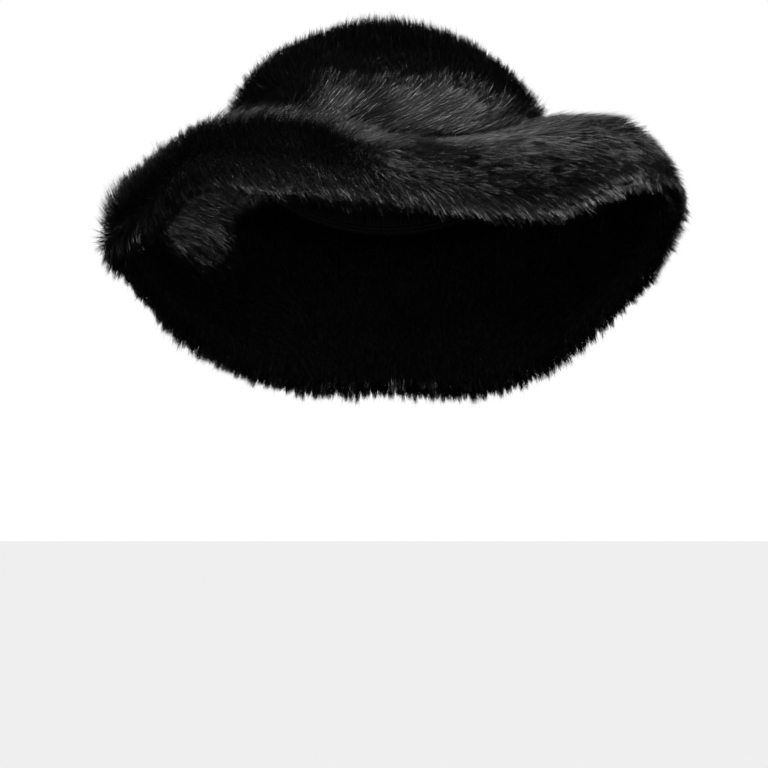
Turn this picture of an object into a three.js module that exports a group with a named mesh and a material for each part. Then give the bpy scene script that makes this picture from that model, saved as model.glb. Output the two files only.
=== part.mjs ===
// A wide-brim hat of black fur as it sits on a head: tipped back a little, the soft brim
// humped up on both sides of a dip in front, rolled down at its left and hanging low behind.
// Millimetres, +Z up, the wearer looks along -Y. The origin is the middle of the head opening.
//
// Three pieces are sewn together at the head line: the crown, the upper brim and the under
// brim. Each is a pelt, a thin skin whose fur stands out in rows of pointed locks that grow
// out of the skin's own surface, so that a pelt is one closed body.
import * as THREE from "three";

// Head opening
const headWidth = 164;
const headLength = 196;
const earArch = 12; // rise of the head line over the ears
const wornTilt = 8; // degrees by which the hat is tipped back

// Skins and seams
const crownSkin = 2.4;
const brimSkin = 2.0;
const seamGap = 0.3;
const seamMargin = 3.2; // flat rim of the brim round the opening, which carries the crown
const seamBend = 4; // from that to where the brim starts to rise or fall

// Crown
const crownHeight = 104; // head line to the top of the skin
const crownLean = -4; // sideways shift of the top
const crownBack = 10; // backward shift of the top
const crownFur = 12; // loft of the fur over the skin
const crownSwirl = 14; // degrees that the fur turns round the crown from foot to top

// Brim
const brimReach = 100; // the unit of the section table
const brimFur = 13;
const brimSwirl = 9; // degrees that the fur turns round the hat from opening to rim

// Rows of locks: the shares of the way from a skin's start to its end at which the first and
// the last row grow, and a lock's length in the same shares
const locksRound = 48; // locks in a row
const crownRows = { rows: 6, first: 0.12, last: 0.8, length: 0.15 };
const brimRows = { rows: 6, first: 0.06, last: 0.88, length: 0.2 };

// Form of a lock, as shares of its length and of the fur's loft
const rootLoft = 0.3;
const notchLoft = 0.7;
const notchLength = 0.74;
const rimLoft = 0.3; // loft of the last row's tips, which close over the brim's edge
const lengthScatter = 0.14; // how far lengths differ from lock to lock
const tipScatter = 0.25; // how far a tip leans sideways, in half lock spacings

// Smooth faces, in rings of quads
const crownInnerRings = 6;
const brimInnerRings = 5;

// The crown's side: its width and length as shares of the head line's, against the share of the
// height, from the head line to the top
const crownSections = [
  { wide: 1.0, long: 1.0, height: 0.0 },
  { wide: 1.09, long: 1.07, height: 0.2 },
  { wide: 1.13, long: 1.12, height: 0.42 },
  { wide: 1.02, long: 1.05, height: 0.62 },
  { wide: 0.8, long: 0.82, height: 0.79 },
  { wide: 0.46, long: 0.47, height: 0.95 },
  { wide: 0.0, long: 0.0, height: 1.0 },
];

// The brim's section at places round the hat, in degrees anticlockwise seen from above: 0 at the
// wearer's left, 90 behind, 180 at the wearer's right and 270 in front. Out from the head line
// and up from it, in shares of the reach: at the hump beside the crown, the shoulder and the rim.
const brimSections = [
  { at: 0, humpOut: 0.34, humpUp: 0.19, shoulderOut: 0.84, shoulderUp: 0.12, rimOut: 1.08, rimUp: -0.16 },
  { at: 15, humpOut: 0.35, humpUp: 0.16, shoulderOut: 0.84, shoulderUp: 0.0, rimOut: 1.05, rimUp: -0.43 },
  { at: 35, humpOut: 0.36, humpUp: 0.09, shoulderOut: 0.74, shoulderUp: -0.17, rimOut: 0.93, rimUp: -0.71 },
  { at: 60, humpOut: 0.34, humpUp: -0.04, shoulderOut: 0.66, shoulderUp: -0.4, rimOut: 0.84, rimUp: -0.96 },
  { at: 90, humpOut: 0.32, humpUp: -0.14, shoulderOut: 0.58, shoulderUp: -0.5, rimOut: 0.72, rimUp: -0.94 },
  { at: 120, humpOut: 0.34, humpUp: -0.08, shoulderOut: 0.63, shoulderUp: -0.41, rimOut: 0.8, rimUp: -0.95 },
  { at: 150, humpOut: 0.36, humpUp: 0.01, shoulderOut: 0.7, shoulderUp: -0.26, rimOut: 0.83, rimUp: -0.77 },
  { at: 170, humpOut: 0.36, humpUp: 0.06, shoulderOut: 0.78, shoulderUp: -0.18, rimOut: 0.89, rimUp: -0.6 },
  { at: 187, humpOut: 0.38, humpUp: 0.1, shoulderOut: 0.85, shoulderUp: -0.19, rimOut: 0.97, rimUp: -0.52 },
  { at: 207, humpOut: 0.41, humpUp: 0.13, shoulderOut: 0.84, shoulderUp: -0.16, rimOut: 0.88, rimUp: -0.48 },
  { at: 226, humpOut: 0.44, humpUp: 0.12, shoulderOut: 0.8, shoulderUp: -0.01, rimOut: 0.9, rimUp: -0.28 },
  { at: 246, humpOut: 0.41, humpUp: 0.1, shoulderOut: 0.74, shoulderUp: -0.02, rimOut: 0.94, rimUp: -0.36 },
  { at: 270, humpOut: 0.32, humpUp: -0.03, shoulderOut: 0.69, shoulderUp: -0.17, rimOut: 0.95, rimUp: -0.45 },
  { at: 302, humpOut: 0.34, humpUp: 0.0, shoulderOut: 0.74, shoulderUp: -0.11, rimOut: 0.97, rimUp: -0.49 },
  { at: 322, humpOut: 0.37, humpUp: 0.12, shoulderOut: 0.82, shoulderUp: 0.05, rimOut: 1.03, rimUp: -0.26 },
  { at: 344, humpOut: 0.35, humpUp: 0.17, shoulderOut: 0.83, shoulderUp: 0.11, rimOut: 1.03, rimUp: -0.1 },
];

const { degToRad, lerp, clamp, euclideanModulo } = THREE.MathUtils;
const fullTurn = 360;
const columns = 2 * locksRound; // a tip and a notch to each lock

// A smooth closed curve through a table's rows: gives every column at a place in degrees
function smoothTable(table) {
  const names = Object.keys(table[0]).filter((name) => name !== "at");
  const closed = [...table, { ...table[0], at: table[0].at + fullTurn }];
  const curve = new THREE.CubicInterpolant(
    closed.map((row) => row.at),
    closed.flatMap((row) => names.map((name) => row[name])),
    names.length,
  );
  curve.settings = {
    endingStart: THREE.WrapAroundEnding,
    endingEnd: THREE.WrapAroundEnding,
  };
  return (at) => {
    const values = curve.evaluate(euclideanModulo(at, fullTurn));
    return Object.fromEntries(names.map((name, i) => [name, values[i]]));
  };
}

// A fixed scatter from -1 to 1 for each lock, alike in every run
function scatter(row, column) {
  const wave = Math.sin(row * 127.1 + column * 311.7) * 43758.5453;
  return 2 * (wave - Math.floor(wave)) - 1;
}

// The point of the head line at a place in degrees, moved outwards and up
function headLine(at, out, up) {
  const angle = degToRad(at);
  return new THREE.Vector3(
    (headWidth / 2 + out) * Math.cos(angle),
    (headLength / 2 + out) * Math.sin(angle),
    earArch * Math.cos(angle) ** 2 + up,
  );
}

// The brim's middle line at a place, from the opening's edge to the rim: x is out and z is up
const brimSectionAt = smoothTable(brimSections);

function brimLine(at) {
  const s = brimSectionAt(at);
  const points = [
    new THREE.Vector3(0, 0, 0),
    new THREE.Vector3(seamMargin, 0, 0),
    new THREE.Vector3(seamMargin + seamBend, 0, 0),
    new THREE.Vector3(s.humpOut, 0, s.humpUp).multiplyScalar(brimReach),
    new THREE.Vector3(s.shoulderOut, 0, s.shoulderUp).multiplyScalar(brimReach),
    new THREE.Vector3(s.rimOut, 0, s.rimUp).multiplyScalar(brimReach),
  ];
  const line = new THREE.CatmullRomCurve3(points, false, "centripetal");
  line.arcLengthDivisions = 60;
  return line;
}

// A point of the brim on the fur's own way from the opening (share 0) to the rim (share 1) and
// past it, at a height over the middle line
function brimPoint(at, share, lift) {
  const place = at + brimSwirl * share;
  const line = brimLine(place);
  const inside = clamp(share, 0, 1);
  const point = line.getPointAt(inside);
  const along = line.getTangentAt(inside);
  const past = (share - inside) * line.getLength();
  const out = point.x + along.x * past - along.z * lift;
  const up = point.z + along.z * past + along.x * lift;
  return headLine(place, out, up);
}

// Height of the brim's top skin over its middle line, and the crown's foot over that
const brimTop = seamGap / 2 + brimSkin;
const crownFoot = brimTop + seamGap;

// The crown's outer skin at a place and a share of the way up its side
const crownLine = new THREE.CatmullRomCurve3(
  crownSections.map((s) => new THREE.Vector3(s.wide, s.long, s.height)),
  false,
  "centripetal",
);

function crownSkinPoint(at, share) {
  const { x: wide, y: long, z: height } = crownLine.getPointAt(clamp(share, 0, 1));
  const foot = headLine(at, crownSkin, crownFoot);
  return new THREE.Vector3(
    foot.x * wide + crownLean * height,
    foot.y * long + crownBack * height,
    lerp(foot.z, crownHeight, height),
  );
}

// The same on the fur's own way up, at a height over the skin
function crownPoint(at, share, lift) {
  const step = 0.005;
  const place = at + crownSwirl * share;
  const middle = clamp(share, step, 1 - 2 * step);
  const up = crownSkinPoint(place, middle + step).sub(crownSkinPoint(place, middle - step));
  const round = crownSkinPoint(place + 1, middle).sub(crownSkinPoint(place - 1, middle));
  const normal = round.cross(up).normalize();
  return crownSkinPoint(place, share).addScaledVector(normal, lift);
}

// Rings of points for rows of locks. Each row is two rings: its roots, low on the skin, and its
// edge, where tips and notches take turns. The next row's roots lie under the tips.
function lockRings({ rows, first, last, length }, { skin, loft, endLoft, pointAt }) {
  const rings = [];
  for (let row = 0; row < rows; row++) {
    const start = lerp(first, last, row / (rows - 1));
    const rowLoft = row === rows - 1 ? loft * endLoft : loft;
    const roots = [];
    const edge = [];
    for (let column = 0; column < columns; column++) {
      const isTip = (column + row) % 2 === 0;
      const reach = isTip ? 1 + lengthScatter * scatter(row, column) : notchLength;
      const rise = isTip ? 1 : notchLoft;
      const lean = isTip ? tipScatter * scatter(column, row) : 0;
      const at = (fullTurn * column) / columns;
      const leaning = (fullTurn * (column + lean)) / columns;
      roots.push(pointAt(at, start, skin + rootLoft * loft));
      edge.push(pointAt(leaning, start + reach * length, skin + rise * rowLoft));
    }
    rings.push(roots, edge);
  }
  return rings;
}

function ringOf(pointAt) {
  return Array.from({ length: columns }, (_, i) => pointAt((fullTurn * i) / columns));
}

// A closed mesh through rings of points, each joined to the next. The last is joined to the
// first, unless the list starts and ends at a single point.
function meshThrough(rings, { startPoint, endPoint, mirrored = false } = {}) {
  const positions = rings.flat().flatMap((p) => p.toArray());
  const faces = [];
  const joins = startPoint ? rings.length - 1 : rings.length;
  for (let ring = 0; ring < joins; ring++) {
    const here = ring * columns;
    const there = ((ring + 1) % rings.length) * columns;
    for (let i = 0; i < columns; i++) {
      const next = (i + 1) % columns;
      faces.push(here + i, here + next, there + i);
      faces.push(here + next, there + next, there + i);
    }
  }
  if (startPoint) {
    const last = (rings.length - 1) * columns;
    const start = positions.push(...startPoint.toArray()) / 3 - 1;
    const end = positions.push(...endPoint.toArray()) / 3 - 1;
    for (let i = 0; i < columns; i++) {
      const next = (i + 1) % columns;
      faces.push(start, next, i);
      faces.push(last + i, last + next, end);
    }
  }
  if (mirrored) faces.reverse();
  const geometry = new THREE.BufferGeometry();
  geometry.setAttribute("position", new THREE.Float32BufferAttribute(positions, 3));
  geometry.setIndex(faces);
  geometry.computeVertexNormals();
  return geometry;
}

// The crown: a hollow dome with an open foot, its locks pointing up the side to the top
function crownGeometry() {
  const inner = [];
  for (let i = 1; i < crownInnerRings; i++) {
    inner.push(ringOf((at) => crownPoint(at, 1 - i / crownInnerRings, -crownSkin)));
  }
  const innerFoot = ringOf((at) => headLine(at, 0, crownFoot));
  const outerFoot = ringOf((at) => headLine(at, crownSkin, crownFoot));
  const fur = lockRings(crownRows, { skin: 0, loft: crownFur, endLoft: 1, pointAt: crownPoint });
  const topShare = (1 + crownRows.last) / 2;
  const nearTop = ringOf((at) => crownPoint(at, topShare, crownFur * rootLoft));
  return meshThrough([...inner, innerFoot, outerFoot, ...fur, nearTop], {
    startPoint: crownPoint(0, 1, -crownSkin),
    endPoint: crownPoint(0, 1, crownFur),
  });
}

// One layer of the brim, with its fur on the side that side names: 1 above, -1 below
function brimGeometry(side) {
  const pointAt = (at, share, lift) => brimPoint(at, share, side * lift);
  const nearFace = [];
  for (let i = brimInnerRings; i >= 0; i--) {
    nearFace.push(ringOf((at) => pointAt(at, i / brimInnerRings, seamGap / 2)));
  }
  const opening = ringOf((at) => pointAt(at, 0, brimTop));
  const margin = ringOf((at) => pointAt(at, seamMargin / brimLine(at).getLength(), brimTop));
  const fur = lockRings(brimRows, { skin: brimTop, loft: brimFur, endLoft: rimLoft, pointAt });
  const rim = ringOf((at) => pointAt(at, 1, brimTop));
  return meshThrough([...nearFace, opening, margin, ...fur, rim], { mirrored: side > 0 });
}

const furLooks = { color: 0x0b0a0c, roughness: 0.5, metalness: 0 };

function pelt(name, geometry) {
  const mesh = new THREE.Mesh(geometry, new THREE.MeshStandardMaterial(furLooks));
  mesh.name = name;
  return mesh;
}

const hat = new THREE.Group();
hat.add(pelt("crown", crownGeometry()));
hat.add(pelt("brim_upper", brimGeometry(1)));
hat.add(pelt("brim_under", brimGeometry(-1)));
hat.rotation.x = -degToRad(wornTilt);

export default hat;
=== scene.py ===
import math

import bpy
import numpy as np
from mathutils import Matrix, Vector


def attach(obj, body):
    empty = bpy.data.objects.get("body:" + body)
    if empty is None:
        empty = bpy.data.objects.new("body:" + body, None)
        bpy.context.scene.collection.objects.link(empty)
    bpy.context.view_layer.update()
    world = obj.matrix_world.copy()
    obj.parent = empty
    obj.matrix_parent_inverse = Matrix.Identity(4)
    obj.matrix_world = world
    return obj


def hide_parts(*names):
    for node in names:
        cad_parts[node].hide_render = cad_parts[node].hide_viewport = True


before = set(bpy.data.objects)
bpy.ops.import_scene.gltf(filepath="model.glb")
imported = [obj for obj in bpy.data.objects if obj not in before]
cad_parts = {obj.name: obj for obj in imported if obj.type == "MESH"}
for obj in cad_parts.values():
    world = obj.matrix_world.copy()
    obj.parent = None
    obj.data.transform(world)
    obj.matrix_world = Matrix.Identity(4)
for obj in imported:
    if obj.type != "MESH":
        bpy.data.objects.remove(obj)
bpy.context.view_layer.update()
rng = np.random.default_rng(11)
MM = 0.001

# Sizes of the skins under the fur, in millimetres, as in the solids
HEAD_WIDTH = 164.0
HEAD_LENGTH = 196.0
EAR_ARCH = 12.0  # how far the head opening rises over the ears
WORN_TILT = 8.0  # degrees that the hat is tipped back
CROWN_SKIN = 2.4
BRIM_SKIN = 2.0
SEAM_GAP = 0.3
SEAM_MARGIN = 3.2  # the brim's level band along the seam
SEAM_BEND = 4.0  # the way beyond it on which the brim starts to bend
CROWN_HEIGHT = 104.0
CROWN_LEAN = -4.0  # how far the crown's top is to the side of its foot's middle, and behind it
CROWN_BACK = 10.0
BRIM_REACH = 100.0
BRIM_TOP = SEAM_GAP / 2 + BRIM_SKIN
CROWN_FOOT = BRIM_TOP + SEAM_GAP

# The crown's side: width, length and height as shares, from the head line to the top
CROWN_SECTIONS = [
    (1.0, 1.0, 0.0),
    (1.09, 1.07, 0.2),
    (1.13, 1.12, 0.42),
    (1.02, 1.05, 0.62),
    (0.8, 0.82, 0.79),
    (0.46, 0.47, 0.95),
    (0.0, 0.0, 1.0),
]

# The brim's section round the hat: degrees, then out and up at the hump, shoulder and rim
BRIM_SECTIONS = [
    (0, 0.34, 0.19, 0.84, 0.12, 1.08, -0.16),
    (15, 0.35, 0.16, 0.84, 0.0, 1.05, -0.43),
    (35, 0.36, 0.09, 0.74, -0.17, 0.93, -0.71),
    (60, 0.34, -0.04, 0.66, -0.4, 0.84, -0.96),
    (90, 0.32, -0.14, 0.58, -0.5, 0.72, -0.94),
    (120, 0.34, -0.08, 0.63, -0.41, 0.8, -0.95),
    (150, 0.36, 0.01, 0.7, -0.26, 0.83, -0.77),
    (170, 0.36, 0.06, 0.78, -0.18, 0.89, -0.6),
    (187, 0.38, 0.1, 0.85, -0.19, 0.97, -0.52),
    (207, 0.41, 0.13, 0.84, -0.16, 0.88, -0.48),
    (226, 0.44, 0.12, 0.8, -0.01, 0.9, -0.28),
    (246, 0.41, 0.1, 0.74, -0.02, 0.94, -0.36),
    (270, 0.32, -0.03, 0.69, -0.17, 0.95, -0.45),
    (302, 0.34, 0.0, 0.74, -0.11, 0.97, -0.49),
    (322, 0.37, 0.12, 0.82, 0.05, 1.03, -0.26),
    (344, 0.35, 0.17, 0.83, 0.11, 1.03, -0.1),
]


# Curves


def smooth_table(rows, at):
    """Every column of a closed table at the places at, in degrees, on a smooth curve."""
    rows = np.array(rows, float)
    knots = np.r_[rows[:, 0], rows[0, 0] + 360.0]
    values = np.vstack([rows[:, 1:], rows[:1, 1:]])
    count = len(rows)
    at = np.mod(at, 360.0)
    i = np.clip(np.searchsorted(knots, at, side="right") - 1, 0, count - 1)
    t0, t1 = knots[i], knots[i + 1]
    before = np.where(i > 0, t0 - knots[i - 1], knots[count] - knots[count - 1])
    after = np.where(i < count - 1, knots[np.minimum(i + 2, count)] - t1, knots[1] - knots[0])
    v_prev = values[(i - 1) % count]
    v0, v1 = values[i], values[i + 1]
    v_next = values[(i + 2) % count]
    half = (t1 - t0) / 2
    w_prev = (half / before)[:, None]
    w_next = (half / after)[:, None]
    p = ((at - t0) / (t1 - t0))[:, None]
    p2, p3 = p * p, p * p * p
    s_prev = -w_prev * p3 + 2 * w_prev * p2 - w_prev * p
    s0 = (1 + w_prev) * p3 + (-1.5 - 2 * w_prev) * p2 + (-0.5 + w_prev) * p + 1
    s1 = (-1 - w_next) * p3 + (1.5 + w_next) * p2 + 0.5 * p
    s_next = w_next * p3 - w_next * p2
    return s_prev * v_prev + s0 * v0 + s1 * v1 + s_next * v_next


CURVE_STEPS = 24  # fine steps from knot to knot of a curve


def curve_through(points, count):
    """Points at even lengths along smooth curves through points of shape (curves, knots, axes)."""
    first = 2 * points[:, :1] - points[:, 1:2]
    last = 2 * points[:, -1:] - points[:, -2:-1]
    full = np.concatenate([first, points, last], axis=1)
    fine = []
    steps = np.linspace(0, 1, CURVE_STEPS + 1)[:-1]
    for k in range(points.shape[1] - 1):
        a, b, c, d = (full[:, k + j][:, None] for j in range(4))
        dt0, dt1, dt2 = (
            np.maximum(np.linalg.norm(q - p, axis=2, keepdims=True) ** 0.5, 1e-6)
            for p, q in ((a, b), (b, c), (c, d))
        )
        m1 = ((b - a) / dt0 - (c - a) / (dt0 + dt1) + (c - b) / dt1) * dt1
        m2 = ((c - b) / dt1 - (d - b) / (dt1 + dt2) + (d - c) / dt2) * dt1
        t = steps[None, :, None]
        cubic = 2 * b - 2 * c + m1 + m2
        square = -3 * b + 3 * c - 2 * m1 - m2
        fine.append(((cubic * t + square) * t + m1) * t + b)
    fine = np.concatenate(fine + [points[:, -1:]], axis=1)
    lengths = np.cumsum(np.linalg.norm(np.diff(fine, axis=1), axis=2), axis=1)
    lengths = np.concatenate([np.zeros((len(fine), 1)), lengths], axis=1)
    even = np.empty((len(fine), count, points.shape[2]))
    for row in range(len(fine)):
        wanted = np.linspace(0, lengths[row, -1], count)
        for axis in range(points.shape[2]):
            even[row, :, axis] = np.interp(wanted, lengths[row], fine[row, :, axis])
    return even


def head_line(at, out, up):
    """Points round the head opening, moved out and up by millimetres."""
    angle = np.radians(at)
    cos, sin = np.cos(angle), np.sin(angle)
    return np.stack(
        [(HEAD_WIDTH / 2 + out) * cos, (HEAD_LENGTH / 2 + out) * sin, EAR_ARCH * cos**2 + up],
        axis=-1,
    )


def tipped(points):
    """Tips points of the upright hat back as worn, and turns millimetres into metres."""
    a = -math.radians(WORN_TILT)
    x, y, z = np.moveaxis(points, -1, 0)
    y, z = y * math.cos(a) - z * math.sin(a), y * math.sin(a) + z * math.cos(a)
    return np.stack([x, y, z], axis=-1) * MM


def unit(v):
    """Vectors of the same directions, each of length 1."""
    return v / np.maximum(np.linalg.norm(v, axis=-1, keepdims=True), 1e-12)


# Skins as grids: stations round the hat by steps from the head line to the rim or the top


STATIONS = 360
STEPS = 97
POLE_STEPS = 3  # steps at the crown's top that are too small to have a normal of their own


class Skin:
    """A skin's surface, sampled at places (degrees) and shares of its width."""

    def __init__(self, points, girth, width):
        """Takes its points in metres, and roughly its way round and across in millimetres."""
        self.points = points
        self.girth, self.width = girth, width
        self.round = (np.roll(points, -1, axis=0) - np.roll(points, 1, axis=0)) / 2
        self.along = np.gradient(points, axis=1)
        self.normal = unit(np.cross(self.along, self.round))
        self.area = np.linalg.norm(np.cross(self.round, self.along), axis=-1)

    def read(self, grid, at, share):
        """Reads a grid between its points."""
        u = np.mod(at, 360.0) / 360.0 * STATIONS
        v = np.clip(share, 0, 1) * (STEPS - 1)
        i = np.floor(u).astype(int)
        j = np.minimum(np.floor(v).astype(int), STEPS - 2)
        fu, fv = (u - i)[:, None], (v - j)[:, None]
        i, i1 = i % STATIONS, (i + 1) % STATIONS
        top = grid[i, j] * (1 - fu) + grid[i1, j] * fu
        low = grid[i, j + 1] * (1 - fu) + grid[i1, j + 1] * fu
        return top * (1 - fv) + low * fv

    def scattered(self, count, low=0.0):
        """Places and shares from low to 1, scattered evenly over the skin's area."""
        cell = self.area.copy()
        cell[:, np.linspace(0, 1, STEPS) < low] = 0
        chance = np.cumsum(cell.ravel())
        # evenly spaced draws, so that no patch is left bare
        draws = (np.arange(count) + rng.random(count)) / count * chance[-1]
        found = np.searchsorted(chance, draws)
        at = (found // STEPS + rng.random(count) - 0.5) * 360.0 / STATIONS
        share = (found % STEPS + rng.random(count) - 0.5) / (STEPS - 1)
        return np.mod(at, 360.0), np.clip(share, 0, 1)


places = np.arange(STATIONS) * 360.0 / STATIONS


def brim_grid():
    """The brim's middle surface, from the head line to the rim."""
    sections = smooth_table(BRIM_SECTIONS, places) * BRIM_REACH
    zero = np.zeros(STATIONS)
    knots = np.stack(
        [
            np.stack([zero, zero], -1),
            np.stack([zero + SEAM_MARGIN, zero], -1),
            np.stack([zero + SEAM_MARGIN + SEAM_BEND, zero], -1),
            sections[:, 0:2],
            sections[:, 2:4],
            sections[:, 4:6],
        ],
        axis=1,
    )
    lines = curve_through(knots, STEPS)
    return tipped(head_line(places[:, None], lines[..., 0], lines[..., 1]))


def crown_grid():
    """The crown's outer surface, from the head line to the top."""
    wide, long, height = curve_through(np.array(CROWN_SECTIONS)[None], STEPS)[0].T
    foot = head_line(places, CROWN_SKIN, CROWN_FOOT)[:, None]
    points = np.empty((STATIONS, STEPS, 3))
    points[..., 0] = foot[..., 0] * wide + CROWN_LEAN * height
    points[..., 1] = foot[..., 1] * long + CROWN_BACK * height
    points[..., 2] = foot[..., 2] + (CROWN_HEIGHT - foot[..., 2]) * height
    return tipped(points)


brim = Skin(brim_grid(), girth=880.0, width=115.0)
crown = Skin(crown_grid(), girth=560.0, width=175.0)
# the brim's normal points up, the crown's outwards
if brim.normal[..., 2].mean() < 0:
    brim.normal = -brim.normal
if (crown.normal * crown.points).sum(-1).mean() < 0:
    crown.normal = -crown.normal
near_pole = crown.normal[:, -2 * POLE_STEPS][:, None]
crown.normal[:, -POLE_STEPS:] = unit(near_pole.mean(axis=0, keepdims=True))


# Fields of the fur, each a function of the place in degrees and the share


def bump(x, low, high, soft):
    """1 between low and high, falling to 0 over soft on either side."""
    return np.clip((x - low) / soft + 1, 0, 1) * np.clip((high - x) / soft + 1, 0, 1)


def ease(x, low, high):
    """From 0 at low to 1 at high, smoothly."""
    t = np.clip((x - low) / (high - low), 0, 1)
    return t * t * (3 - 2 * t)


def waves(points, size, seed):
    """Smooth noise from about -1 to 1, from a few sine waves across each other."""
    local = np.random.default_rng(seed)
    total = np.zeros(len(points))
    for k in range(6):
        way = unit(local.normal(size=3))
        pitch = size * (0.6 + 0.8 * local.random())
        total += np.sin(points @ way * 2 * math.pi / pitch + local.random() * 6.28)
    return total / 3.2


# How far the brim's fur is swept round the hat: degrees, then to +X and forwards
BRIM_SWEEP = [
    (0, 0.35, 0.9),
    (25, 0.0, 0.4),
    (100, 0.0, 0.0),
    (165, 0.0, 0.2),
    (185, 0.0, 0.9),
    (205, 0.2, 1.0),
    (226, 0.45, 0.6),
    (246, 0.8, 0.2),
    (270, 1.1, 0.0),
    (302, 1.45, 0.0),
    (322, 1.35, 0.35),
    (344, 0.8, 0.9),
]

# The lit crescent of flat fur over the crease, along +X: the heights of its foot and top in
# metres, and the slopes of its hair there in degrees above the level
CRESCENT = [
    (-0.095, 0.050, 0.054, 45, 55),
    (-0.080, 0.050, 0.058, 45, 58),
    (-0.051, 0.048, 0.065, 40, 62),
    (-0.030, 0.041, 0.067, 26, 62),
    (-0.014, 0.033, 0.067, 16, 60),
    (0.020, 0.027, 0.067, 12, 50),
    (0.052, 0.030, 0.064, 12, 38),
    (0.080, 0.039, 0.056, 14, 34),
    (0.105, 0.048, 0.052, 16, 40),
]
CRESCENT_HAIR = 0.011  # how far its hair rises over the root, in metres


def brim_sweep(at):
    """How far the brim's fur is swept at places round the hat, as vectors."""
    right, front = smooth_table(BRIM_SWEEP, at).T
    return np.stack([right, -front, np.zeros_like(right)], -1)


# Directions that the fur is combed to in places: to +X, back and up
HUMP_HAIR = (-0.15, -0.85, 0.5)
CREST_HAIR = (0.62, 0.16, 0.77)
OUTER_HAIR = (-0.45, -0.15, 0.88)
FRONT_HAIR = (0.38, -0.72, -0.58)
ROLL_HAIR = (0.93, 0.0, -0.3)
OPENING_HAIR = (0.0, -0.88, -0.47)
LEFT_RIM_HAIR = (0.1, -0.85, -0.5)
FRONT_RIM_HAIR = (0.32, -0.75, -0.6)
RIGHT_RIM_HAIR = (0.5, -0.75, -0.42)
COMBING = 5  # how much a full combing outweighs the fur's way out to the edge


def combed(normal, sweep, lie, wanted, amount):
    """The fur turned to point the wanted way, by an amount from 0 to 1."""
    wanted = unit(np.array(wanted))
    upright = normal @ wanted
    aside = unit(wanted - normal * upright[:, None])
    sweep = sweep + COMBING * aside * amount[:, None]
    return sweep, lie + (np.degrees(np.arccos(np.clip(upright, -1, 1))) - lie) * amount


# Each way gives how far the fur is swept aside, its lie from the skin's normal in degrees, and
# the directions that it is combed to, each with how much of it there is


def brim_upper_way(at, share, root):
    """The upper brim's fur: level beside the crown and on the right, combed on the left hump."""
    front = bump(at, 262, 350, 20)
    lie = 34 + 26 * front + 6 * waves(root, 0.05, 3)
    sweep = brim_sweep(at) * (1.25 - 0.5 * ease(share, 0.1, 0.7))[:, None]
    # beside the crown and on the right of the dip the fur lies flat and level
    level = bump(at, 262, 336, 18) * bump(share, 0.0, 0.26, 0.2)
    level = np.maximum(level, bump(at, 284, 334, 16) * bump(share, 0.0, 0.5, 0.14))
    lie += 20 * level
    sweep += np.array([2.4, 0.9, 0.0]) * level[:, None]
    lie -= 14 * ease(share, 0.6, 0.75) * bump(at, 288, 340, 16)
    # the left hump's fur points to the front, but on its crest up and aside, into the light
    faces_front = ease(-unit(brim.read(brim.normal, at, share))[:, 1], 0.28, 0.58)
    hump = bump(at, 186, 252, 16) * bump(share, 0.3, 0.84, 0.08) * faces_front
    crest = bump(at, 226, 262, 12) * bump(share, 0.0, 0.66, 0.08) * (1 - faces_front)
    outer = bump(at, 180, 212, 14) * bump(share, 0.2, 0.8, 0.15) * (1 - faces_front)
    # over the front edge, on the left, it points down and aside
    low = 0.8 * bump(at, 226, 264, 14) * ease(share, 0.84, 0.94)
    combings = [(HUMP_HAIR, hump), (CREST_HAIR, crest), (OUTER_HAIR, outer), (FRONT_HAIR, low)]
    return sweep, lie, combings


def brim_under_way(at, share, root):
    """The under brim's fur: dense and upright, apart from the roll and round the opening."""
    lie = 18 + 8 * waves(root, 0.05, 5)
    # the lit roll under the brim's left end
    roll = 0.75 * bump(at, 160, 180, 24) * bump(share, 0.28, 0.56, 0.26)
    sweep = brim_sweep(at) * ease(share, 0.7, 0.95)[:, None]
    rear = bump(at, 10, 165, 20)
    sweep[:, 1] -= 1.2 * rear * ease(share, 0.6, 0.9)
    lie += 8 * rear * ease(share, 0.7, 0.95)
    # behind the head its tips point to the front, so that none of them catches the light
    opening = bump(at, 10, 150, 20) * bump(share, 0.0, 0.3, 0.15) * (1 - roll)
    return sweep, lie, [(ROLL_HAIR, roll), (OPENING_HAIR, opening)]


def rim_way(at, share, root):
    """The fur round the brim's edge."""
    front = bump(at, 225, 335, 25)
    rear = bump(at, 10, 165, 20)
    sweep = brim_sweep(at)
    # behind, the rim's fur curls in under the brim
    sweep[:, 1] -= 1.6 * rear
    lie = 16 + 26 * front + 16 * rear + 6 * waves(root, 0.02, 9)
    combings = [
        (LEFT_RIM_HAIR, 0.9 * bump(at, 186, 224, 8)),
        (FRONT_RIM_HAIR, 0.9 * bump(at, 232, 276, 8)),
        (RIGHT_RIM_HAIR, 0.8 * np.maximum(bump(at, 296, 360, 20), bump(at, -1, 5, 20))),
    ]
    return sweep, lie, combings


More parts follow.
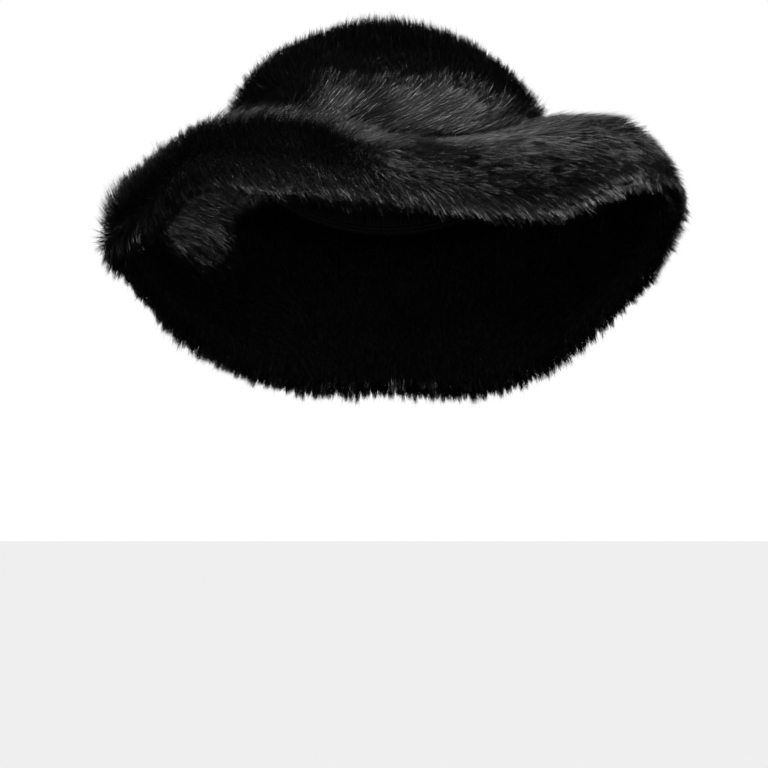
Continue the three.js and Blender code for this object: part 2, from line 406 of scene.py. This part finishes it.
def crown_way(at, share, root):
    """The crown's lower front lies flat and fans to the side, the rest stands up."""
    front = bump(at, 200, 345, 14)
    along, *columns = np.array(CRESCENT).T
    foot, top, foot_slope, top_slope = (np.interp(root[:, 0], along, c) for c in columns)
    height = root[:, 2] + 0.004 * waves(root, 0.03, 8)
    ends = np.maximum(top - CRESCENT_HAIR, foot - 0.006)
    flat = front * (1 - ease(height, ends - 0.005, ends + 0.005))
    # on the right a dark line of fur that stands out runs along the crescent's foot
    line = bump(root[:, 0], 0.01, 0.085, 0.02)
    flat *= 1 - line * (1 - ease(root[:, 2], foot, foot + 0.003))
    forward = bump(at, 190, 350, 30) * (1 - flat)
    lie = 12 + 14 * forward + 6 * (1 - flat) * waves(root, 0.04, 6) + 76 * flat
    share_up = np.clip((root[:, 2] - foot) / (top - foot), 0, 1) ** 0.8
    slope = np.radians(foot_slope + (top_slope - foot_slope) * share_up)
    sweep = (flat / np.tan(slope))[:, None] * np.array([1.0, 0, 0])
    sweep[:, 1] -= 1.8 * forward
    return sweep, lie, []


# Hairs

STRAND_ROUND = 62  # degrees that a strand's shading turns from its middle to its edge
STRAND_WIDTH = 0.32  # millimetres, before its own scatter
GUARD_HAIRS = 0.8  # strands over this share are guard hairs, wider and glossier
TUFT = 3.6  # a tuft's size in millimetres, and that of the wider clumps of tufts
CLUMP = TUFT * 2.6
STRAY_HAIRS = 0.08  # the share of hairs that hardly join their tuft
TUFT_LEAN = 0.18  # how far a tuft, a clump and a hair lean their own way
HAIR_LEAN = 0.2


def tufts(skin, at, share, size):
    """The tuft that each hair belongs to: the nearest of points jittered on a grid."""
    across = int(skin.girth / size)
    down = int(skin.width / size)
    local = np.random.default_rng(across * 31 + down)
    jitter_u = local.random((across, down))
    jitter_v = local.random((across, down))
    u = at / 360.0 * across
    v = share * down
    iu, iv = np.floor(u).astype(int), np.floor(v).astype(int)
    best = np.full(len(at), np.inf)
    owner = np.zeros(len(at), int)
    for du in (-1, 0, 1):
        for dv in (-1, 0, 1):
            cu, cv = iu + du, iv + dv
            wrapped, held = cu % across, np.clip(cv, 0, down - 1)
            far = (cu + jitter_u[wrapped, held] - u) ** 2 + (cv + jitter_v[wrapped, held] - v) ** 2
            near = far < best
            best[near] = far[near]
            owner[near] = (wrapped * down + held)[near]
    return owner, across * down


def gather(tip, owner, count, pull):
    """Draws tips towards the middle tip of their tuft."""
    members = np.maximum(np.bincount(owner, minlength=count), 1)[:, None]
    middle = np.stack([np.bincount(owner, tip[:, k], count) for k in range(3)], -1) / members
    return tip + (middle[owner] - tip) * pull[:, None]


def grow(skin, at, share, lift, side, way, loft, edge=None, tie=1.0):
    """Root, middle, tip, width and skin's normal of every hair, from its place on a skin.

    Hairs stand lift over the skin and are loft deep, both in millimetres. The side is 1 or -1,
    edge is how far in degrees they fan out round the brim's edge, and tie how much they gather
    in tufts.
    """
    count = len(at)
    owner, many = tufts(skin, at, share, TUFT)
    big_owner, big_many = tufts(skin, at, share, CLUMP)
    normal = unit(skin.read(skin.normal, at, share)) * side
    root = skin.read(skin.points, at, share) + normal * (lift * MM)[:, None]
    out = unit(skin.read(skin.along, at, share))
    sweep, lie, combings = way(at, share, root)
    if edge is not None:
        # round the brim's edge the fur fans out between the two faces
        fan = np.radians(edge)[:, None]
        normal, out = (
            normal * np.cos(fan) + out * np.sin(fan),
            out * np.cos(fan) - normal * np.sin(fan),
        )
    for wanted, amount in combings:
        sweep, lie = combed(normal, sweep, lie, wanted, amount)
    # round the head opening the fur leans in over the seam
    inward = 2 * ease(share, 0.0, 0.07) - 1 if side < 0 else np.ones(count)
    flow = out * inward[:, None] + sweep
    # each tuft leans its own way, and so does each hair a little, but less where the fur lies
    lying = ease(lie, 35, 62)
    loose = (1 - 0.5 * lying)[:, None]
    flow += TUFT_LEAN * loose * unit(rng.normal(size=(many, 3)))[owner]
    flow += TUFT_LEAN * loose * unit(rng.normal(size=(big_many, 3)))[big_owner]
    flow += HAIR_LEAN * unit(rng.normal(size=(count, 3)))
    flow = unit(flow - normal * (flow * normal).sum(-1, keepdims=True))
    lie = np.clip(lie, 5, 88)
    # flat hairs start at different heights, so that they lie over each other
    flat = ease(lie, 68, 86)
    root = root + normal * (5 * MM * flat * rng.random(count))[:, None]
    # a lying hair is longer, so that the fur is about as thick everywhere
    long = np.minimum(loft / np.cos(np.radians(lie)), loft * 1.75)
    long *= (0.78 + 0.4 * rng.random(many))[owner] ** (1 - 0.7 * lying)
    long *= (0.88 + 0.22 * rng.random(count)) * MM
    lie = lie + 4 * rng.normal(size=count) + 4 * loose[:, 0] * rng.normal(size=many)[owner]
    lie = np.radians(np.clip(lie, 3, 90))
    # a hair's lower half stands up more and its upper half leans over more
    first = lie - np.radians(14 - 10 * flat)
    second = lie + np.radians(11 - 8 * flat)
    up1, on1 = np.cos(first)[:, None], np.sin(first)[:, None]
    up2, on2 = np.cos(second)[:, None], np.sin(second)[:, None]
    middle = root + (normal * up1 + flow * on1) * (long * 0.5)[:, None]
    tip = middle + (normal * up2 + flow * on2) * (long * 0.5)[:, None]
    stray = rng.random(count) < STRAY_HAIRS
    tight = (0.3 + 0.45 * rng.random(many))[owner] + 0.25 - 0.35 * ease(np.degrees(lie), 20, 60)
    pull = tie * np.where(stray, 0.1, np.minimum(tight, 0.9)) * (1 - 0.5 * lying)
    tip = gather(tip, owner, many, pull)
    middle = gather(middle, owner, many, pull * 0.3)
    tip += rng.normal(size=(count, 3)) * 0.7 * MM
    middle += rng.normal(size=(count, 3)) * 0.4 * MM
    tip += np.where(stray, 0.1, 0.0)[:, None] * (tip - root)
    wide = STRAND_WIDTH * MM * (0.7 + 0.6 * rng.random(count))
    return root, middle, tip, wide, normal


# The corners of a ribbon's quad and triangle in its cell of the map
RIBBON_CORNERS = np.array(
    [(0.1, 0.05), (0.9, 0.05), (0.85, 0.5), (0.15, 0.5)] + [(0.15, 0.5), (0.85, 0.5), (0.5, 0.95)]
)


def hair_mesh(name, root, middle, tip, wide, normal, at, share):
    """One mesh of ribbons, each a quad and a pointed triangle, with a map of its own cells."""
    count = len(root)
    # a strand's cell in the map follows its place, so that the map changes smoothly
    side = math.ceil(math.sqrt(count))
    order = np.argsort(at, kind="stable")
    cell_u = np.empty(count, int)
    cell_v = np.empty(count, int)
    for column in range(side):
        part = order[column * side : (column + 1) * side]
        part = part[np.argsort(share[part], kind="stable")]
        cell_u[part] = column
        cell_v[part] = np.arange(len(part))
    strand = rng.random(count)
    guard = strand > GUARD_HAIRS
    wide = wide * np.where(guard, 1.5, 0.9)
    along = unit(tip - root)
    # a lying hair turns its flat side outwards, a standing one turns anyhow
    facing = normal + 0.5 * unit(rng.normal(size=(count, 3)))
    side_way = unit(np.cross(along, facing))
    across = side_way * (wide / 2)[:, None]
    # normals that fan out across the ribbon shade it as a round strand
    lower, upper = unit(middle - root), unit(tip - middle)
    shading = []
    for way, turn in ((lower, -1), (lower, 1), (along, 1), (along, -1), (upper, 0)):
        out = unit(np.cross(side_way, way))
        turn = math.radians(STRAND_ROUND) * turn
        shading.append(out * math.cos(turn) + side_way * math.sin(turn))
    shading = np.stack(shading, axis=1).reshape(-1, 3)
    verts = np.stack(
        [root - across, root + across, middle + across * 0.85, middle - across * 0.85, tip],
        axis=1,
    ).reshape(-1, 3)
    base = (np.arange(count) * 5)[:, None]
    loops = (base + np.array([0, 1, 2, 3, 3, 2, 4])[None]).ravel()
    starts = (np.arange(count)[:, None] * 7 + np.array([0, 4])[None]).ravel()
    mesh = bpy.data.meshes.new(name)
    mesh.vertices.add(len(verts))
    mesh.vertices.foreach_set("co", verts.ravel().astype(np.float32))
    mesh.loops.add(len(loops))
    mesh.loops.foreach_set("vertex_index", loops.astype(np.int32))
    mesh.polygons.add(len(starts))
    mesh.polygons.foreach_set("loop_start", starts.astype(np.int32))
    values = mesh.attributes.new("strand", "FLOAT", "POINT")
    values.data.foreach_set("value", np.repeat(strand, 5).astype(np.float32))
    reach = mesh.attributes.new("reach", "FLOAT", "POINT")
    reach.data.foreach_set("value", np.tile([0, 0, 0.5, 0.5, 1], count).astype(np.float32))
    cells = np.stack([cell_u, cell_v], -1)[:, None, :]
    uv = ((cells + RIBBON_CORNERS[None]) / side).reshape(-1, 2)
    layer = mesh.uv_layers.new(name="OFBake", do_init=False)
    layer.uv.foreach_set("vector", uv.ravel().astype(np.float32))
    mesh.materials.append(fur_soft)
    mesh.materials.append(fur_guard)
    mesh.polygons.foreach_set("material_index", np.repeat(guard, 2).astype(np.int32))
    mesh.polygons.foreach_set("use_smooth", np.ones(len(starts), bool))
    mesh.update(calc_edges=True)
    mesh.validate()
    mesh.normals_split_custom_set_from_vertices(shading.astype(np.float32))
    return placed(name, mesh)


# Materials


def node(tree, kind, **values):
    """A new node with its inputs or settings of these names set."""
    made = tree.nodes.new(kind)
    for key, value in values.items():
        if key in made.inputs:
            made.inputs[key].default_value = value
        else:
            setattr(made, key, value)
    return made


def new_material(name):
    """A new material, with its tree and its shader."""
    material = bpy.data.materials.new(name)
    material.use_nodes = True
    return material, material.node_tree, material.node_tree.nodes["Principled BSDF"]


def grained(tree, **values):
    """Noise in the object's own space."""
    where = node(tree, "ShaderNodeTexCoord")
    noise = node(tree, "ShaderNodeTexNoise", **values)
    tree.links.new(where.outputs["Object"], noise.inputs["Vector"])
    return noise.outputs["Fac"]


def toned(tree, value, dark, light, low=0.0, high=1.0):
    """Tones from dark, where the value is low, to light, where it is high."""
    tone = node(tree, "ShaderNodeValToRGB")
    for element, colour, position in zip(tone.color_ramp.elements, (dark, light), (low, high)):
        element.position = position
        element.color = (*colour, 1)
    tree.links.new(value, tone.inputs["Fac"])
    return tone.outputs["Color"]


def strand_material(name, dark, light, smooth, rough, gloss_level):
    """Glossy hair with painted shade that darkens it towards its root, and a slow change of tone
    over the pelt.
    """
    material, tree, shader = new_material(name)
    shader.inputs["IOR"].default_value = 1.55
    shader.inputs["Specular IOR Level"].default_value = gloss_level
    strand = node(tree, "ShaderNodeAttribute", attribute_name="strand")
    reach = node(tree, "ShaderNodeAttribute", attribute_name="reach")
    patch = grained(tree, Scale=28.0, Detail=2.0)
    mixed = node(tree, "ShaderNodeMath", operation="MULTIPLY_ADD")
    mixed.inputs[1].default_value = 0.55
    tree.links.new(strand.outputs["Fac"], mixed.inputs[0])
    half = node(tree, "ShaderNodeMath", operation="MULTIPLY")
    half.inputs[1].default_value = 0.45
    tree.links.new(patch, half.inputs[0])
    tree.links.new(half.outputs[0], mixed.inputs[2])
    tone = toned(tree, mixed.outputs[0], dark, light)
    # painted shade: each strand's colour is scaled from 0.35 at its root to 1.25 at its tip,
    # darker down where the fur around it shades it
    painted_root_shade = node(tree, "ShaderNodeMapRange")
    painted_root_shade.inputs["To Min"].default_value = 0.35
    painted_root_shade.inputs["To Max"].default_value = 1.25
    tree.links.new(reach.outputs["Fac"], painted_root_shade.inputs["Value"])
    scaled = node(tree, "ShaderNodeVectorMath", operation="SCALE")
    tree.links.new(tone, scaled.inputs[0])
    tree.links.new(painted_root_shade.outputs["Result"], scaled.inputs["Scale"])
    tree.links.new(scaled.outputs[0], shader.inputs["Base Color"])
    gloss = node(tree, "ShaderNodeMapRange")
    gloss.inputs["To Min"].default_value = smooth
    gloss.inputs["To Max"].default_value = rough
    tree.links.new(mixed.outputs[0], gloss.inputs["Value"])
    tree.links.new(gloss.outputs["Result"], shader.inputs["Roughness"])
    return material


def pile_material(name, dark, light, scale, depth, gloss_level):
    """Short dense pile or bare hide: mottled colour and fine bump."""
    material, tree, shader = new_material(name)
    shader.inputs["Roughness"].default_value = 0.85
    shader.inputs["Specular IOR Level"].default_value = gloss_level
    grain = grained(tree, Scale=scale, Detail=3.0)
    tone = toned(tree, grain, dark, light, low=0.35, high=0.7)
    tree.links.new(tone, shader.inputs["Base Color"])
    relief = node(tree, "ShaderNodeBump", Strength=0.6, Distance=depth)
    tree.links.new(grain, relief.inputs["Height"])
    tree.links.new(relief.outputs["Normal"], shader.inputs["Normal"])
    return material


fur_soft = strand_material(
    "fur_soft",
    dark=(0.0004, 0.0004, 0.0005),
    light=(0.0015, 0.0014, 0.0017),
    smooth=0.24,
    rough=0.36,
    gloss_level=0.45,
)
fur_guard = strand_material(
    "fur_guard",
    dark=(0.0015, 0.0015, 0.0018),
    light=(0.005, 0.0047, 0.0055),
    smooth=0.18,
    rough=0.28,
    gloss_level=1.0,
)
underfur = pile_material(
    "underfur",
    dark=(0.0008, 0.0008, 0.0009),
    light=(0.003, 0.0028, 0.0032),
    scale=900.0,
    depth=0.0008,
    gloss_level=0.04,
)
backing = pile_material(
    "backing",
    dark=(0.002, 0.002, 0.0022),
    light=(0.006, 0.0057, 0.0066),
    scale=1400.0,
    depth=0.0004,
    gloss_level=0.0,
)


# Pelts that the hairs stand on


def placed(name, mesh):
    """A mesh as an object in the scene."""
    piece = bpy.data.objects.new(name, mesh)
    bpy.context.collection.objects.link(piece)
    return piece


def pelt_mesh(name, inner, outer, closes):
    """A closed mesh through rings of points: bare backing on its inner rings, underfur on its
    outer ones. Where the last ring doesn't close on the first, both are capped."""
    rings = np.array(inner + outer)
    many, count = rings.shape[:2]
    faces, slots = [], []
    for ring in range(many if closes else many - 1):
        here, there = ring * count, ((ring + 1) % many) * count
        for i in range(count):
            j = (i + 1) % count
            faces.append((here + i, here + j, there + j, there + i))
            slots.append(0 if ring < len(inner) else 1)
    if not closes:
        faces.append(tuple(range(count)))
        faces.append(tuple((many - 1) * count + k for k in reversed(range(count))))
        slots += [0, 1]
    mesh = bpy.data.meshes.new(name)
    mesh.from_pydata(rings.reshape(-1, 3).tolist(), [], faces)
    mesh.materials.append(backing)
    mesh.materials.append(underfur)
    mesh.polygons.foreach_set("material_index", np.array(slots, np.int32))
    mesh.polygons.foreach_set("use_smooth", np.ones(len(faces), bool))
    mesh.validate()
    mesh.update()
    return placed(name, mesh)


EVERY = 3  # a pelt's ring uses each third station of the grid
CROWN_PILE = 3.0  # the underfur's depth, in millimetres
BRIM_PILE = 2.6
CROWN_RINGS = np.linspace(0.0, 0.97, 26)
BRIM_RINGS = np.linspace(0.0, 1.0, 24)


def ring_at(skin, share, lift):
    """A ring of points round the hat, at a share of the skin's width and a lift over it."""
    at = places[::EVERY]
    shares = np.full(len(at), share)
    normal = unit(skin.read(skin.normal, at, shares))
    return skin.read(skin.points, at, shares) + normal * lift * MM


def crown_pelt():
    """The crown's pelt, thin at its foot."""
    inner = [ring_at(crown, s, -CROWN_SKIN) for s in CROWN_RINGS[::-1]]
    outer = [ring_at(crown, s, CROWN_PILE * min(1, s / 0.05)) for s in CROWN_RINGS]
    return pelt_mesh("crown_pelt", inner, outer, closes=False)


def brim_pelt(name, side):
    """A pelt of the brim, thin at the opening and at the rim."""
    near = [ring_at(brim, s, side * SEAM_GAP / 2) for s in BRIM_RINGS[::-1]]
    far = []
    for s in BRIM_RINGS:
        pile = BRIM_PILE * min(1, s / 0.06) * min(1, (1.0 - s) / 0.05 + 0.1)
        far.append(ring_at(brim, s, side * (BRIM_TOP + pile)))
    return pelt_mesh(name, near, far, closes=True)


FUR = 12.0  # the fur's depth off the skin, in millimetres


def rim_fur(at):
    """The fur's depth at the brim's edge, shorter where it turns down at the sides."""
    right, left = 3 * bump(at, 12, 28, 10), 2.5 * bump(at, 162, 172, 8)
    return FUR - right - left - 1.5 * bump(at, 118, 132, 8)


def under_fur(at, share):
    """The fur's depth on the under brim, which ends in that of the edge."""
    return FUR + (rim_fur(at) - FUR) * ease(share, 0.84, 0.96)


def upper_fur(at, share):
    """The fur's depth on the upper brim: shorter on both slopes, longer round the left end."""
    turned = np.mod(at + 180, 360)
    slopes = 4 * bump(at, 192, 216, 14) * bump(share, 0.3, 0.66, 0.1)
    slopes += 3.5 * bump(turned, 166, 192, 14) * bump(share, 0.5, 0.9, 0.15)
    end = 4.5 * bump(at, 182, 198, 8) * bump(share, 0.86, 0.95, 0.08)
    return FUR - slopes + end + (rim_fur(at) - FUR) * ease(share, 0.84, 0.96)


def crown_fur(at, share):
    """The fur's depth on the crown, longer on top and in the notch over the brim's right."""
    x, _, z = crown.read(crown.points, at, share).T
    top = 3 * bump(x, -0.02, 0.055, 0.03) * ease(share, 0.6, 0.8)
    side = 2.5 * bump(x, 0.068, 0.095, 0.015) * bump(z, 0.065, 0.1, 0.02)
    notch = 3 * bump(x, 0.088, 0.11, 0.01) * bump(z, 0.03, 0.052, 0.012)
    return FUR - 0.5 + top - side + notch


# How many hairs stand on the crown, on each face of the brim, and round its edge for each face
CROWN_HAIRS = 58000
UPPER_HAIRS = 112000
UNDER_HAIRS = 92000
EDGE_HAIRS = 15000
ROOT_LIFT = 1.0  # how far the roots are over the skin, in millimetres
RIM_SHARE = 0.997  # where the edge's hairs stand on the brim


def brim_hairs(name, side, way, depth, count, parts):
    """Hairs on one face of the brim and round its edge, cut into parts round the hat."""
    at, share = brim.scattered(count)
    lift = np.full(count, BRIM_TOP + ROOT_LIFT)
    # near the edge the fur leans out over it
    edge = 62 * ease(share, 0.88, 1.0)
    face = grow(brim, at, share, lift, side, way, depth(at, share), edge=edge)
    rim_at = (np.arange(EDGE_HAIRS) + rng.random(EDGE_HAIRS)) * 360.0 / EDGE_HAIRS
    rim_at = np.mod(rim_at, 360)
    rim_share = np.full(EDGE_HAIRS, RIM_SHARE)
    lift = rng.random(EDGE_HAIRS) * BRIM_TOP
    edge = 60 + 30 * rng.random(EDGE_HAIRS)
    loft = rim_fur(rim_at)
    rim = grow(brim, rim_at, rim_share, lift, side, rim_way, loft, edge=edge, tie=0.75)
    grown = [np.concatenate(pair) for pair in zip(face, rim)]
    at = np.concatenate([at, rim_at])
    share = np.concatenate([share, rim_share])
    made = []
    for part in range(parts):
        mine = (at >= 360.0 * part / parts) & (at < 360.0 * (part + 1) / parts)
        values = [g[mine] for g in grown]
        made.append(hair_mesh(f"{name}_{part + 1}", *values, at[mine], share[mine]))
    return made


def crown_hairs(name):
    """Hairs on the crown."""
    at, share = crown.scattered(CROWN_HAIRS, low=0.01)
    lift = np.full(CROWN_HAIRS, ROOT_LIFT)
    grown = grow(crown, at, share, lift, 1, crown_way, crown_fur(at, share))
    return hair_mesh(name, *grown, at, share)


# Each piece with the CAD part that it replaces
pieces = [
    (crown_pelt(), "crown"),
    (brim_pelt("brim_upper_pelt", 1), "brim_upper"),
    (brim_pelt("brim_under_pelt", -1), "brim_under"),
    (crown_hairs("crown_fur"), "crown"),
]
for piece in brim_hairs("brim_upper_fur", 1, brim_upper_way, upper_fur, UPPER_HAIRS, parts=3):
    pieces.append((piece, "brim_upper"))
for piece in brim_hairs("brim_under_fur", -1, brim_under_way, under_fur, UNDER_HAIRS, parts=2):
    pieces.append((piece, "brim_under"))

for piece, part in pieces:
    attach(piece, "root")
    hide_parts(part)


# Studio

FLOOR = -1.0  # the floor's height and size, in metres: the hat hangs well above it
FLOOR_SIZE = 400
LIGHT_SIZE = (1.2, 1.0)


def studio_white(name):
    """A pale matt floor, lit up for the camera as a blown-out studio floor is."""
    material, tree, shader = new_material(name)
    shader.inputs["Roughness"].default_value = 0.9
    tone = toned(tree, grained(tree, Scale=2.0), dark=(0.28,) * 3, light=(0.32,) * 3)
    tree.links.new(tone, shader.inputs["Base Color"])
    glow = node(tree, "ShaderNodeEmission", Strength=0.85)
    path = node(tree, "ShaderNodeLightPath")
    nothing = node(tree, "ShaderNodeEmission", Strength=0.0)
    lit = node(tree, "ShaderNodeMixShader")
    tree.links.new(path.outputs["Is Camera Ray"], lit.inputs[0])
    tree.links.new(nothing.outputs[0], lit.inputs[1])
    tree.links.new(glow.outputs[0], lit.inputs[2])
    both = node(tree, "ShaderNodeAddShader")
    tree.links.new(shader.outputs[0], both.inputs[0])
    tree.links.new(lit.outputs[0], both.inputs[1])
    tree.links.new(both.outputs[0], tree.nodes["Material Output"].inputs["Surface"])
    return material


bpy.ops.mesh.primitive_plane_add(size=FLOOR_SIZE, location=(0, 0, FLOOR))
floor = bpy.context.object
floor.name = "floor"
floor.data.materials.append(studio_white("floor_white"))


def area_light(name, place, power):
    """A soft box that points at the hat, with its power in watts."""
    data = bpy.data.lights.new(name, "AREA")
    data.shape = "RECTANGLE"
    data.size, data.size_y = LIGHT_SIZE
    data.energy = power
    light = bpy.data.objects.new(name, data)
    light.location = place
    light.rotation_euler = (-Vector(place)).to_track_quat("-Z", "Y").to_euler()
    bpy.context.collection.objects.link(light)


area_light("front", (0.0, -2.28, 0.32), 45)
area_light("right", (1.12, -1.60, 1.22), 70)
area_light("left", (-2.09, -0.76, 0.60), 55)
area_light("low", (0.74, -2.03, -0.79), 30)
area_light("back", (0.0, 1.15, 1.99), 28)

# A dim world that the camera sees as white
world = bpy.data.worlds.new("studio")
bpy.context.scene.world = world
world.use_nodes = True
tree = world.node_tree
background = tree.nodes["Background"]
background.inputs["Color"].default_value = (1, 1, 1, 1)
background.inputs["Strength"].default_value = 0.026
seen = node(tree, "ShaderNodeBackground", Strength=1.0)
seen.inputs["Color"].default_value = (1, 1, 1, 1)
path = node(tree, "ShaderNodeLightPath")
both = node(tree, "ShaderNodeMixShader")
tree.links.new(path.outputs["Is Camera Ray"], both.inputs[0])
tree.links.new(background.outputs[0], both.inputs[1])
tree.links.new(seen.outputs[0], both.inputs[2])
tree.links.new(both.outputs[0], tree.nodes["World Output"].inputs["Surface"])
bpy.context.scene.view_settings.view_transform = "Standard"

# Camera: the photo's view from the front and a little below
data = bpy.data.cameras.new("camera")
data.lens = 155.06
data.sensor_width = 36
camera = bpy.data.objects.new("camera", data)
camera.location = (-0.00266, -2.2, -0.221)
camera.rotation_euler = (math.radians(92.5), 0, 0)
bpy.context.collection.objects.link(camera)
bpy.context.scene.camera = camera
